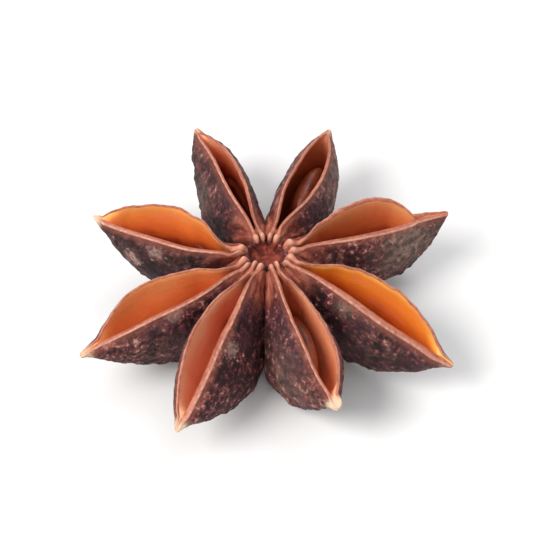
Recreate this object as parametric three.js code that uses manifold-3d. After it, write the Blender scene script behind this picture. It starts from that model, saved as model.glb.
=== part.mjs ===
// Star anise pod: eight boat-shaped carpels, split open along their tops, round one short
// column, with two loose seeds. Millimetres, +Z up, the pod resting on its keels at z = 0
// with its axis on the Z axis.

import * as THREE from 'three';
import { ParametricGeometry } from 'three/addons/geometries/ParametricGeometry.js';
import { mergeVertices } from 'three/addons/utils/BufferGeometryUtils.js';
import Module from 'manifold-3d';

// ---------------------------------------------------------------- driving dimensions

// Height of the rim round the centre above the floor. Keels that hang lower are worn flat.
const rimHeight = 9.5;

// What a carpel is like unless its own row says otherwise. Azimuth is the way that the
// tip points, in degrees from +X. left and right are seen from the centre, looking out.
const usualCarpel = {
  depth: 9.8,       // lips to keel, at its deepest
  width: 3.0,       // how far each flank swells from the middle plane
  arch: 0.6,        // rise of the lips above a straight line to the tip
  gapeAt: 0.63,     // where the mouth is widest, as a part of the length
  opens: 0.36,      // where it has opened fully, as a part of the length
  beak: 0.06,       // closed end of the mouth, as a part of the length
  edge: 0.85,       // lower closes the mouth more bluntly towards the beak
  fullness: 3.9,    // higher keeps the keel deep nearer to the tip
  lean: 0,          // how far the keel swings to the left of the lips
  bend: 0,          // how far the carpel curves to the left in its inner third
  bow: 0,           // and over its whole length
  lipLeft: 0.4,     // width of the flat faces of the two lips
  lipRight: 0.4,
};

const carpelRows = [
  { azimuth: 112, length: 17.6, drop: 3.0, left: 0.4, right: 0.95, gapeAt: 0.57,
    opens: 0.45, width: 3.6, depth: 10.2, lean: 1.4 },
  { azimuth: 70, length: 17.4, drop: 3.2, left: 0.7, right: 1.6, gapeAt: 0.55,
    opens: 0.42, width: 3.7, depth: 10.2, lean: -0.9 },
  { azimuth: 20.5, length: 17.8, drop: 2.2, left: 2.8, right: 0.45, gapeAt: 0.6,
    opens: 0.32, beak: 0.19, edge: 0.7, arch: 0.3, depth: 9.1, fullness: 8, lean: -0.3,
    bend: -0.4, lipLeft: 0.7, lipRight: 0.8 },
  { azimuth: -29.5, length: 19.3, drop: 4.4, left: 2.6, right: 0.3, gapeAt: 0.6,
    edge: 1.1, arch: 1.0, width: 3.2, depth: 10.4, fullness: 3.5, lean: -1.2,
    lipRight: 0.95 },
  { azimuth: -66.5, length: 16.4, drop: 2.6, left: 1.55, right: 0.7, opens: 0.3,
    width: 3.7, depth: 10.2, fullness: 4.3, lean: -2.7 },
  { azimuth: -115, length: 18.7, drop: 3.7, left: 0.4, right: 1.75, gapeAt: 0.57,
    opens: 0.4, width: 3.4, depth: 10.2, arch: 0.8, fullness: 3.2, lean: 3.65, bow: -0.35,
    lipLeft: 0.75 },
  { azimuth: -152, length: 19.1, drop: 3.3, left: 0.75, right: 2.45, gapeAt: 0.58,
    beak: 0.1, edge: 1.15, width: 3.2, depth: 10.2, fullness: 3.3, lean: 1.2, bend: 0.5,
    lipLeft: 0.65 },
  { azimuth: 160.5, length: 16.9, drop: 2.2, left: 0.5, right: 2.85, gapeAt: 0.57,
    opens: 0.42, beak: 0.05, arch: 0.1, depth: 9.0, fullness: 4.5, lean: 0.1, bend: 1.1,
    lipLeft: 0.7 },
];

// The plane half way to a neighbour lies at this slope from the carpel's own middle plane.
function slopeTo(from, to) {
  return Math.tan(THREE.MathUtils.degToRad(((from - to + 720) % 360) / 2));
}

const carpels = carpelRows.map((row, i) => {
  const before = carpelRows.at(i - 1);
  const after = carpelRows[(i + 1) % carpelRows.length];
  const roomLeft = slopeTo(before.azimuth, row.azimuth);
  const roomRight = slopeTo(row.azimuth, after.azimuth);
  return { ...usualCarpel, ...row, roomLeft, roomRight };
});

const rootStart = 0.1;           // carpels begin inside the column, at this part of the length
const rootDepth = 0.76;          // keel depth there, as a part of the full depth
const rootReach = 0.35;          // part of the length over which it grows to the full depth
const leanReach = 0.5;           // and over which the keel swings to its full lean
const tipDepth = 0.015;          // what is left of the keel depth and of the swell at the tip
const swellAt = 0.64;            // largest value of the swell curve before the width is applied
const rootSwell = 0.35;          // what the flanks swell more near the centre, as a part
const rootSwellTo = [0.15, 0.4]; // this fades out between these parts of the length
const mouthFrom = 0.14;          // the mouth starts to open at this part of the length

const lipInset = 0.15;           // how far the lips reach in over the mouth
const lipWidens = [0.12, 0.5];   // wide lips get their width between these parts of the length
const flankWall = 0.8;           // rind at the flanks, taken off the swell
const keelWall = 1.0;            // rind above the keel
const sharedWall = 0.4;          // rind to the plane half way to a neighbour
const sharedOverlap = 0.05;      // how far neighbours that touch run into each other
const hollowFrom = 0.22;         // the hollow starts and ends at these parts of the length
const hollowTo = 0.9;
const slitHalfWidth = 0.12;      // the narrowest that the mouth gets
const mouthClearance = 1.5;      // how far the cutting shape rises out of the mouth

// Column on the axis: radius and height above the rim level, from stalk to dimple.
const column = {
  stalkRadius: 1.15, stalkEnd: -9.1, stalkTop: -8.4,
  waistRadius: 2.8, waistBottom: -7.7, waistTop: -0.7,
  rimRadius: 2.35, rimTop: 0.25, rimRound: 0.25,
  dimpleRadius: 1.35, dimpleDepth: -1.0, noseHeight: -0.75,
};
const columnSides = 24;

const podReach = 30;             // more than the longest carpel, for the cut along the floor

// Seeds, lying on edge: which carpel, then distance out, shift to the left and height of
// the middle above the floor. Pitch lowers the outer end, roll tips the top to the right.
const seedLength = 7.4;
const seedHeight = 4.7;
const seedThickness = 2.5;
const seedTaper = 0.16;
const seedRows = [
  { name: 'seed_back', carpel: 1, out: 9.6, left: -0.6, height: 5.5, pitch: 4, roll: -2 },
  { name: 'seed_front', carpel: 4, out: 8.6, left: -0.6, height: 5.4, pitch: 0, roll: -18 },
];

// Mesh fineness
const hullStations = 13;
const hullSides = 15;
const hollowStations = 10;
const hollowSides = 13;
const seedSides = 16;
const seedRings = 10;
const weldDistance = 1e-4;       // points closer than this are one

// ------------------------------------------------------------------- shape of a carpel

const keelEase = 1.2;            // how straight the keel runs up to the tip
const swellEase = 3.3;           // how late the flanks close towards the tip
const swingEase = 1.3;           // how much of the lean is left for the part near the keel
const lipClosing = 9;            // how fast the lips get narrow at the tip
const lipAtTip = 0.15;           // and what part of their width is left there

// How far a section curve reaches out and down at its shoulder and above its keel. out is
// measured in lip widths and in bulges, down in depths.
const flankShape = { lipOut: 0.5, bulgeOut: 0.9, shoulder: 0.27, keelOut: 0.55, keelDown: 0.94 };
const hollowShape = { lipOut: 0.45, bulgeOut: 0.73, shoulder: 0.27, keelOut: 0.6, keelDown: 0.94 };

// Two arcs that are 0 at both ends: the first is 1 half way along, the second at a third.
function arcHalfWay(u) {
  return 4 * u * (1 - u);
}

function arcAtThird(u) {
  return 6.75 * u * (1 - u) ** 2;
}

// Half-width of the mouth to one side, at part u of the length.
function gape(carpel, side, u) {
  const end = 1 - carpel.beak;
  const rise = (carpel.edge * carpel.gapeAt) / (end - carpel.gapeAt);
  const curve = (x) => x ** rise * Math.max(end - x, 0) ** carpel.edge;
  const widest = side > 0 ? carpel.left : carpel.right;
  const opened = THREE.MathUtils.smoothstep(u, mouthFrom, carpel.opens);
  return (widest * opened * curve(u)) / curve(carpel.gapeAt);
}

// Width of the flat face of the lip on one side.
function lipWidth(carpel, side, u) {
  const own = side > 0 ? carpel.lipLeft : carpel.lipRight;
  const grown = THREE.MathUtils.smoothstep(u, ...lipWidens);
  return usualCarpel.lipLeft + (own - usualCarpel.lipLeft) * grown;
}

// Height of the lips over the rim level.
function lipHeight(carpel, u) {
  return carpel.arch * arcHalfWay(u) - carpel.drop * u * u;
}

// Depth of the keel under the lips.
function keelDepth(carpel, u) {
  const fromRoot = rootDepth + (1 - rootDepth) * Math.min(1, u / rootReach);
  return carpel.depth * fromRoot * (1 - (1 - tipDepth) * u ** carpel.fullness) ** keelEase;
}

// Swell of the flanks. Near the centre they swell more and meet their neighbours.
function swell(carpel, u) {
  const atRoot = 1 + rootSwell * (1 - THREE.MathUtils.smoothstep(u, ...rootSwellTo));
  const towardsTip = 1 - (1 - tipDepth) * u ** swellEase;
  return (carpel.width * atRoot * Math.sqrt(u) * towardsTip) / swellAt;
}

// One flank in section, from its lip down to the keel, as a curve in (across, down).
function flankCurve(shape, lip, bulge, depth) {
  return new THREE.CubicBezierCurve(
    new THREE.Vector2(lip, 0),
    new THREE.Vector2(lip * shape.lipOut + bulge * shape.bulgeOut, depth * shape.shoulder),
    new THREE.Vector2(bulge * shape.keelOut, depth * shape.keelDown),
    new THREE.Vector2(0, depth),
  );
}

// From the carpel's own measures (part of the length, left, down) to a point of the pod.
// The point keeps its distance from the planes half way to the neighbours.
function place(carpel, u, left, down, distance, target) {
  const angle = THREE.MathUtils.degToRad(carpel.azimuth);
  const along = u * carpel.length;
  const swing = carpel.lean * Math.min(1, u / leanReach);
  const curved = carpel.bend * arcAtThird(u) + carpel.bow * arcHalfWay(u);
  const free = left + curved + swing * (Math.max(down, 0) / carpel.depth) ** swingEase;
  const across = THREE.MathUtils.clamp(
    free,
    distance - along * carpel.roomRight,
    along * carpel.roomLeft - distance,
  );
  target.set(
    along * Math.cos(angle) - across * Math.sin(angle),
    along * Math.sin(angle) + across * Math.cos(angle),
    rimHeight + lipHeight(carpel, u) - down,
  );
}

// Section point of the outer form: j = 0 is the left lip, the middle j the keel, and the
// last j the right lip.
function hullPoint(carpel, u, j, sides, target) {
  const half = (sides - 1) / 2;
  const side = j <= half ? 1 : -1;
  const v = side > 0 ? j / half : (sides - 1 - j) / half;
  const narrowed = Math.min(1, (1 - u) * lipClosing + lipAtTip);
  const lip = gape(carpel, side, u) + (lipWidth(carpel, side, u) - lipInset) * narrowed;
  const point = flankCurve(flankShape, lip, swell(carpel, u), keelDepth(carpel, u)).getPoint(v);
  place(carpel, u, side * point.x, point.y, -sharedOverlap, target);
}

// Section point of the hollow: as the hull, inside the rind, with straight sides that
// rise out of the mouth at both ends of j.
function hollowPoint(carpel, u, j, sides, target) {
  const half = (sides - 1) / 2;
  const side = j <= half ? 1 : -1;
  const step = side > 0 ? j : sides - 1 - j;
  const lip = Math.max(gape(carpel, side, u) - lipInset, slitHalfWidth);
  if (step === 0) {
    place(carpel, u, side * lip, -mouthClearance, sharedWall, target);
    return;
  }
  const bulge = Math.max(swell(carpel, u) - flankWall, slitHalfWidth);
  const depth = Math.max(keelDepth(carpel, u) - keelWall, keelWall);
  const point = flankCurve(hollowShape, lip, bulge, depth).getPoint((step - 1) / (half - 1));
  place(carpel, u, side * point.x, point.y, sharedWall, target);
}

// ------------------------------------------------------------------------ solid shapes

const wasm = await Module();
wasm.setup();

// A closed skin over sections between two parts of the length, with flat ends. The first
// and last row of the grid shrink to the middle of their section.
function skin(carpel, sectionPoint, from, to, stations, sides) {
  const rows = stations + 2;
  const corner = new THREE.Vector3();
  const surface = (a, b, target) => {
    const row = Math.round(a * rows);
    const j = Math.round(b * sides) % sides;
    const station = THREE.MathUtils.clamp(row - 1, 0, stations);
    const u = from + ((to - from) * station) / stations;
    if (row > 0 && row < rows) {
      sectionPoint(carpel, u, j, sides, target);
      return;
    }
    target.set(0, 0, 0);
    for (let k = 0; k < sides; k += 1) {
      sectionPoint(carpel, u, k, sides, corner);
      target.addScaledVector(corner, 1 / sides);
    }
  };
  return new ParametricGeometry(surface, rows, sides);
}

// Geometry with shared vertices and no collapsed triangles, as a solid that can be cut.
function toSolid(geometry) {
  const bare = geometry.clone();
  bare.deleteAttribute('normal');
  bare.deleteAttribute('uv');
  const merged = mergeVertices(bare, weldDistance);
  const index = merged.index.array;
  const kept = [];
  for (let i = 0; i < index.length; i += 3) {
    const [a, b, c] = [index[i], index[i + 1], index[i + 2]];
    if (a !== b && b !== c && c !== a) {
      kept.push(a, b, c);
    }
  }
  const vertProperties = new Float32Array(merged.attributes.position.array);
  const solid = makeSolid(vertProperties, new Uint32Array(kept));
  if (solid.volume() > 0) {
    return solid;
  }
  return makeSolid(vertProperties, new Uint32Array(kept.reverse()));
}

function makeSolid(vertProperties, triVerts) {
  return new wasm.Manifold(new wasm.Mesh({ numProp: 3, vertProperties, triVerts }));
}

function toGeometry(solid) {
  const { vertProperties, triVerts } = solid.getMesh();
  const geometry = new THREE.BufferGeometry();
  geometry.setAttribute('position', new THREE.BufferAttribute(vertProperties, 3));
  geometry.setIndex(new THREE.BufferAttribute(triVerts, 1));
  geometry.computeVertexNormals();
  return geometry;
}

// -------------------------------------------------------------------------- sub-parts

function columnGeometry() {
  const c = column;
  const profile = [
    [0, c.stalkEnd],
    [c.stalkRadius, c.stalkEnd],
    [c.stalkRadius, c.stalkTop],
    [c.waistRadius, c.waistBottom],
    [c.waistRadius, c.waistTop],
    [c.rimRadius + c.rimRound, c.rimTop - c.rimRound / 2],
    [c.rimRadius, c.rimTop],
    [c.rimRadius - c.rimRound, c.rimTop - c.rimRound / 2],
    [c.dimpleRadius, c.dimpleDepth],
    [0, c.noseHeight],
  ];
  const points = profile.map(([radius, height]) => new THREE.Vector2(radius, height));
  const geometry = new THREE.LatheGeometry(points, columnSides);
  geometry.rotateX(Math.PI / 2);
  geometry.translate(0, 0, rimHeight);
  return geometry;
}

function podGeometry() {
  let pod = toSolid(columnGeometry());
  for (const carpel of carpels) {
    pod = pod.add(toSolid(skin(carpel, hullPoint, rootStart, 1, hullStations, hullSides)));
  }
  for (const carpel of carpels) {
    const hollow = skin(carpel, hollowPoint, hollowFrom, hollowTo, hollowStations, hollowSides);
    pod = pod.subtract(toSolid(hollow));
  }
  const belowFloor = new THREE.BoxGeometry(2 * podReach, 2 * podReach, podReach);
  belowFloor.translate(0, 0, -podReach / 2);
  return toGeometry(pod.subtract(toSolid(belowFloor)));
}

// An egg-shaped seed, flattened sideways, with its length along X.
function seedGeometry() {
  const geometry = new THREE.SphereGeometry(0.5, seedSides, seedRings);
  geometry.rotateZ(Math.PI / 2);
  const position = geometry.attributes.position;
  const point = new THREE.Vector3();
  for (let i = 0; i < position.count; i += 1) {
    point.fromBufferAttribute(position, i);
    const slim = 1 - seedTaper * (point.x * 2);
    const x = point.x * seedLength;
    const y = point.y * seedThickness * slim;
    const z = point.z * seedHeight * slim;
    position.setXYZ(i, x, y, z);
  }
  return toGeometry(toSolid(geometry));
}

// --------------------------------------------------------------------------- the model

const rind = new THREE.MeshStandardMaterial({ color: 0x6a4a44, roughness: 0.75, metalness: 0 });
const seedCoat = new THREE.MeshStandardMaterial({ color: 0x6b3018, roughness: 0.3, metalness: 0 });

const starAnise = new THREE.Group();

const pod = new THREE.Mesh(podGeometry(), rind);
pod.name = 'pod';
starAnise.add(pod);

for (const row of seedRows) {
  const seed = new THREE.Mesh(seedGeometry(), seedCoat);
  const turn = new THREE.Group();
  seed.name = row.name;
  seed.position.set(row.out, row.left, row.height);
  seed.rotation.y = THREE.MathUtils.degToRad(row.pitch);
  seed.rotation.x = THREE.MathUtils.degToRad(row.roll);
  turn.rotation.z = THREE.MathUtils.degToRad(carpels[row.carpel].azimuth);
  turn.add(seed);
  starAnise.add(turn);
}

export default starAnise;
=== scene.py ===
import math

import bmesh
import bpy
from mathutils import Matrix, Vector, noise


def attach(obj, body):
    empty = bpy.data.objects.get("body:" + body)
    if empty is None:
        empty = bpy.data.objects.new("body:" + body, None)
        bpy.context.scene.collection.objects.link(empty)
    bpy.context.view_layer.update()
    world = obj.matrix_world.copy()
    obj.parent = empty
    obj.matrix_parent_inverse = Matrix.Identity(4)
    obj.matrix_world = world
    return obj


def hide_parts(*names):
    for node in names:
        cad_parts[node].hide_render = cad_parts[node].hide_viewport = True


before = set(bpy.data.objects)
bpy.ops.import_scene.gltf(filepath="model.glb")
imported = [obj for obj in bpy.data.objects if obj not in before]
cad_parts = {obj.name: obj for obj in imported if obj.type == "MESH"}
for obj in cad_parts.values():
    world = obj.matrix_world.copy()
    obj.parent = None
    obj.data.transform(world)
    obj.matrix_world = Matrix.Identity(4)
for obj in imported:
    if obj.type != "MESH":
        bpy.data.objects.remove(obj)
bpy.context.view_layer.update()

mm = 0.001
rimHeight = 9.5  # mm from the floor to the rim round the centre


def plug(tree, value, socket):  # a field, a socket or a plain value into an input
    if isinstance(value, Field):
        tree.links.new(value.socket, socket)
    elif isinstance(value, bpy.types.NodeSocket):
        tree.links.new(value, socket)
    elif value is not None:
        socket.default_value = value


def addNode(tree, kind, inputs, **settings):
    node = tree.nodes.new(kind)
    for label, value in settings.items():
        setattr(node, label, value)
    for label, value in inputs.items():
        plug(tree, value, node.inputs[label])
    return node


def infix(operation):
    return lambda self, other: self.math(operation, other)


class Field:  # a number travelling through a node tree, so formulas read as formulas
    __add__ = __radd__ = infix("ADD")
    __sub__ = infix("SUBTRACT")
    __mul__ = __rmul__ = infix("MULTIPLY")
    __truediv__ = infix("DIVIDE")
    __pow__ = infix("POWER")
    atLeast = infix("MAXIMUM")
    atMost = infix("MINIMUM")
    above = infix("GREATER_THAN")

    def __init__(self, tree, socket):
        self.tree = tree
        self.socket = socket

    def math(self, operation, *others):
        inputs = dict(enumerate((self, *others)))
        node = addNode(self.tree, "ShaderNodeMath", inputs, operation=operation)
        return Field(self.tree, node.outputs[0])

    def __rsub__(self, other):
        return self.math("MULTIPLY_ADD", -1.0, other)

    def __neg__(self):
        return self * -1.0

    def ease(self, low, high):  # 0 under low, 1 over high, smooth between
        node = addNode(self.tree, "ShaderNodeMapRange",
                       {"Value": self, "From Min": low, "From Max": high},
                       interpolation_type="SMOOTHSTEP")
        return Field(self.tree, node.outputs["Result"])

    def pick(self, one, other):  # one where this is 1, other where it is 0
        return other + (one - other) * self


def combine(tree, x, y, z):
    return addNode(tree, "ShaderNodeCombineXYZ", {0: x, 1: y, 2: z}).outputs[0]


def separate(tree, vector):
    node = addNode(tree, "ShaderNodeSeparateXYZ", {0: vector})
    return [Field(tree, socket) for socket in node.outputs]


def grain(tree, vector, scale, detail=2.0, roughness=0.5, distortion=0.0):
    node = addNode(tree, "ShaderNodeTexNoise", {
        "Vector": vector, "Scale": scale, "Detail": detail, "Roughness": roughness,
        "Distortion": distortion})
    return Field(tree, node.outputs["Fac"])


def newTree(name, numbers, extras=()):  # geometry tree with named inputs
    tree = bpy.data.node_groups.new(name, "GeometryNodeTree")
    tree.interface.new_socket("Geometry", in_out="OUTPUT", socket_type="NodeSocketGeometry")
    for label, value in numbers.items():
        socket = tree.interface.new_socket(label, in_out="INPUT", socket_type="NodeSocketFloat")
        socket.default_value = value
    for label, kind in extras:
        tree.interface.new_socket(label, in_out="INPUT", socket_type=kind)
    source = tree.nodes.new("NodeGroupInput")
    given = {socket.name: Field(tree, socket) for socket in source.outputs if socket.name}
    return tree, given


def store(tree, geometry, label, value):
    node = addNode(tree, "GeometryNodeStoreNamedAttribute",
                   {"Geometry": geometry, "Name": label, "Value": value},
                   data_type="FLOAT", domain="POINT")
    return node.outputs["Geometry"]


def recall(tree, label):
    node = addNode(tree, "GeometryNodeInputNamedAttribute", {"Name": label}, data_type="FLOAT")
    return Field(tree, node.outputs["Attribute"])


def pointPlace(tree):
    return separate(tree, addNode(tree, "GeometryNodeInputPosition", {}).outputs[0])


def moveTo(tree, geometry, position=None, offset=None):
    inputs = {"Geometry": geometry, "Position": position, "Offset": offset}
    return addNode(tree, "GeometryNodeSetPosition", inputs).outputs["Geometry"]


def finishPiece(tree, geometry, material, sharpAngle):  # metres, creases and material
    scale = addNode(tree, "GeometryNodeTransform",
                    {"Geometry": geometry, "Scale": (mm, mm, mm)})
    real = addNode(tree, "GeometryNodeRealizeInstances", {0: scale.outputs[0]})
    angle = addNode(tree, "GeometryNodeInputMeshEdgeAngle", {}).outputs["Unsigned Angle"]
    sharp = Field(tree, angle).above(sharpAngle.math("RADIANS"))
    edges = addNode(tree, "GeometryNodeSetShadeSmooth",
                    {"Geometry": real.outputs[0], "Shade Smooth": 1 - sharp}, domain="EDGE")
    faces = addNode(tree, "GeometryNodeSetShadeSmooth", {"Geometry": edges.outputs[0]})
    paint = addNode(tree, "GeometryNodeSetMaterial",
                    {"Geometry": faces.outputs[0], "Material": material})
    addNode(tree, "NodeGroupOutput", {0: paint.outputs[0]})


# The carpels: lengths in mm, places along them as parts of the length. Azimuth is where the
# tip points, in degrees from +X. left and right are seen from the centre, looking out.
carpelSettings = {
    "usual": {"depth": 10.2, "width": 3.0, "arch": 0.6, "gapeAt": 0.57, "beak": 0.06,
              "edge": 0.85, "opens": 0.36, "fullness": 3.9, "bend": 0.0, "bow": 0.0,
              "lipLeft": 0.15, "lipRight": 0.15, "tip": 0.26, "tipPale": 0.3, "dusk": 0.0,
              "shade": 0.0},
    # per carpel, gloom is the depth in mm at which the painted shade down its hollow is darkest,
    # dusk lays painted shade over its whole lining, and less tone gives its upper lining a paler
    # pink, partly its own colour and partly painted light
    "rows": [
        {"azimuth": 112, "length": 17.6, "drop": 3.0, "left": 0.4, "right": 0.95, "opens": 0.45,
         "width": 3.6, "lean": 1.4, "tone": 0.1, "gloom": 3.9, "shade": -0.15},
        {"azimuth": 70, "length": 17.4, "drop": 3.2, "left": 0.7, "right": 1.6, "gapeAt": 0.55,
         "opens": 0.42, "width": 3.7, "lean": -0.9, "tone": 0.3, "gloom": 4.2, "dusk": 0.6,
         "shade": -0.03},
        {"azimuth": 20.5, "length": 17.8, "drop": 2.2, "left": 2.8, "right": 0.45, "arch": 0.3,
         "depth": 9.1, "gapeAt": 0.6, "beak": 0.19, "edge": 0.7, "opens": 0.32, "fullness": 8.0,
         "lean": -0.3, "bend": -0.4, "lipLeft": 0.26, "lipRight": 0.32, "tipPale": 0.0,
         "tone": 0.64, "gloom": 4.6, "dusk": 0.15},
        {"azimuth": -29.5, "length": 19.3, "drop": 4.4, "left": 2.6, "right": 0.3, "arch": 1.0,
         "gapeAt": 0.6, "edge": 1.1, "width": 3.2, "depth": 10.4, "fullness": 3.5, "lean": -1.2,
         "lipRight": 0.4, "tone": 1.0, "gloom": 6.0, "shade": -0.16},
        {"azimuth": -66.5, "length": 16.4, "drop": 2.6, "left": 1.55, "right": 0.7,
         "gapeAt": 0.63, "width": 3.7, "fullness": 4.3, "lean": -2.7, "tip": 0.5, "opens": 0.3,
         "tipPale": 0.9, "tone": 0.2, "gloom": 7.5, "shade": -0.07},
        {"azimuth": -115, "length": 18.7, "drop": 3.7, "left": 0.4, "right": 1.75, "opens": 0.4,
         "width": 3.4, "arch": 0.8, "fullness": 3.2, "lean": 3.65, "bow": -0.35, "lipLeft": 0.3,
         "tipPale": 0.8, "tone": 0.0, "gloom": 7.4, "shade": -0.08},
        {"azimuth": -152, "length": 19.1, "drop": 3.3, "left": 0.75, "right": 2.45,
         "gapeAt": 0.58, "edge": 1.15, "width": 3.2, "beak": 0.1, "fullness": 3.3, "lean": 1.2,
         "bend": 0.5, "lipLeft": 0.25, "tipPale": 0.5, "tone": 0.75, "gloom": 9.5,
         "shade": -0.07},
        {"azimuth": 160.5, "length": 16.9, "drop": 2.2, "left": 0.5, "right": 2.85, "arch": 0.1,
         "depth": 9.0, "beak": 0.05, "opens": 0.42, "fullness": 4.5, "lean": 0.1, "bend": 1.1,
         "lipLeft": 0.28, "tipPale": 1.0, "tone": 0.88, "gloom": 4.2, "shade": -0.22},
    ],
    "stations": 88, "crowding": 1.3,  # stations stand closer towards the tip
    "flankSteps": 40, "lipSteps": 8, "liningSteps": 10,
    "hubWide": 2.45, "hubNarrow": 1.58,  # how far out the bumps lie, to the side and in front
    "seedStep": 1.7, "seedStart": 3.0,  # places of the carpels in the noises
    # parts of the hub distance; a carpel starts inside the column
    "root": 0.55, "nearHub": (0.95, 2.3), "nearRim": (1.05, 1.6), "slitFrom": (1.15, 1.6),
    # uneven lines along the carpel: pace, start in the noise, scale, detail
    "waves": {"lip": (0.22, 0.0, 1.3, 1.5), "keel": (0.5, 20.0, 1.1, 2.0),
              "sway": (0.12, 40.0, 1.0, 0.0), "nicks": (1.0, 60.0, 1.4, 1.0)},
    "lipsApart": 3.0,
    "lipWave": 0.2, "lipWaveFrom": (0.2, 0.4),  # on the gape, and in mm on the height
    "nickDepth": 0.17, "nickRise": 0.22, "nickFrom": (0.1, 0.2),
    "keelWave": 0.6, "keelWaveFrom": (0.25, 0.7),
    "sway": 0.9, "swayFrom": (0.2, 0.6),
    "slit": 0.08, "slitFade": 0.05,  # least opening of the mouth, and how it ends
    # hull
    "rootDepth": 0.76,  # depth at the centre as part of the full depth
    "fullDepthAt": 0.35, "taperPower": 1.2,
    "taperAway": 0.985,  # how much of depth and width is gone at the tip
    "rootFuller": 0.35, "fullerTo": (0.15, 0.4),  # extra width near the centre
    "swellRise": 0.5, "swellFall": 3.3, "swellPeak": 0.64,
    "tipDepth": 2.4, "tipWidth": 1.2, "tipReach": 1.5,  # in tip sizes
    "tipClose": 0.95, "shoulderAtHub": 0.22,
    "capMiddle": 0.45,  # how far down the middle of each end lies
    "flank": {"hold": 0.5, "upper": 0.9, "lower": 0.55, "shoulder": 0.27, "belly": 0.94},
    # hollow
    "wall": 0.8, "keelWall": 1.0, "hollowFrom": (0.15, 0.34), "hollowInBeak": 0.8,
    "hollowFade": 0.15, "hollowPower": 0.8, "leastHollow": 0.02, "underRim": 1.15,
    "lining": {"hold": 0.45, "upper": 0.73, "lower": 0.6, "shoulder": 0.27, "belly": 0.94},
    # how neighbours meet
    "swingFullAt": 0.5, "swingPower": 1.3,
    "overlap": 0.1,  # how far they run into the plane between them
    "lipInset": 0.45, "leastRoom": 0.05, "meeting": 0.25, "pressedTo": (0.03, 0.5),
    # resting on the floor
    "floorGap": 0.04, "floorSoft": 0.3,
    # masks for the material
    "lipBand": 1.4, "paleFrom": (0.925, 0.985), "sinkUnit": 10,
    # painted shade: the hollows darken sooner near the centre
    "rootGloom": 0.45, "rootGloomTo": (0.2, 0.5),
}

# The split edges: half widths in mm
lipSettings = {
    "usual": 0.15, "ownFrom": (0.12, 0.5),  # where a carpel's own width takes over
    "atHub": 0.05,
    "thinFrom": 0.03, "thinning": 0.55,  # before the end of the mouth
    "apart": 0.03, "leastOpening": 0.02,
    "brow": 0.17, "ridgeBrow": 0.2,  # how high the edge is rounded
    "slope": 0.7,  # how far a wide edge falls to the inside
    "ridge": 0.32, "ridgeSpread": 0.14,  # next to the centre, as parts of the room there
}

# The bumps round the centre, in mm; the nose is the side that dips into the middle
beadSettings = {
    "carpelStep": 2.3, "sideStep": 4.7, "layer": 8.0, "scale": 3.0,  # noise of the sizes
    "forward": 0.35, "back": 0.15, "spread": 0.5,
    "nose": (0.64, 0.97), "noseDrop": 1.35,  # the nose in hub distances
    "reach": 0.5, "height": 0.2, "heightSpread": 0.34, "saddleAt": 0.8, "saddle": 0.16,
    "mask": 2.0,
}

# The dried skin: heights in mm, noises as scale, detail, roughness and distortion
reliefSettings = {
    "along": 0.42, "across": 0.8, "down": 10, "seed": 3.7,  # stretch of the noises
    "broad": (0.42, 1.0), "creases": (0.95, 2.5, 0.6, 0.4), "pebbles": (2.5, 2.0, 0.6),
    "rays": (1.3, 1.0), "ripple": (0.55, 2.0),
    "creaseWidth": 4, "undulation": 0.24, "wrinkle": 0.15, "lowerWrinkle": 1.3, "fine": 0.1,
    "rayHeight": 0.3, "rayCount": 7, "rayStretch": 0.4, "pressedRays": 0.15,
    "leastSpoke": 0.5, "rippleHeight": 0.1,
    "flankFrom": (0.03, 0.16), "lowerFrom": (0.35, 0.75),  # in sink units down from the edge
    "tipFrom": (0.9, 1.0),
    "rayTo": (3.2, 5.5), "rayAbove": (7.0, 8.4), "rayOut": (0.6, 1.0),  # mm out and up
    "rippleIn": (0.9, 1.0), "rippleFrom": (0.0, 0.1),
}

halfWayPeak = 4  # makes u (1 - u) rise to 1, half way along
thirdPeak = 6.75  # makes u (1 - u) (1 - u) rise to 1, at a third


def labelled(row):  # settings under the names of a tree's inputs: gapeAt as Gape At
    return {"".join(" " + sign if sign.isupper() else sign for sign in key).title(): value
            for key, value in row.items()}


def carpelRows():
    s = carpelSettings
    rows = [{**s["usual"], **row} for row in s["rows"]]
    for index, row in enumerate(rows):
        before, after = rows[index - 1], rows[(index + 1) % len(rows)]
        toLeft = (before["azimuth"] - row["azimuth"]) % 360
        toRight = (row["azimuth"] - after["azimuth"]) % 360
        sideways = math.sin(math.radians(row["azimuth"])) ** 2
        row["roomLeft"] = math.tan(math.radians(toLeft / 2))
        row["roomRight"] = math.tan(math.radians(toRight / 2))
        row["hub"] = s["hubWide"] + (s["hubNarrow"] - s["hubWide"]) * sideways
        row["seed"] = s["seedStep"] * index + s["seedStart"]
    return rows


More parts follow.
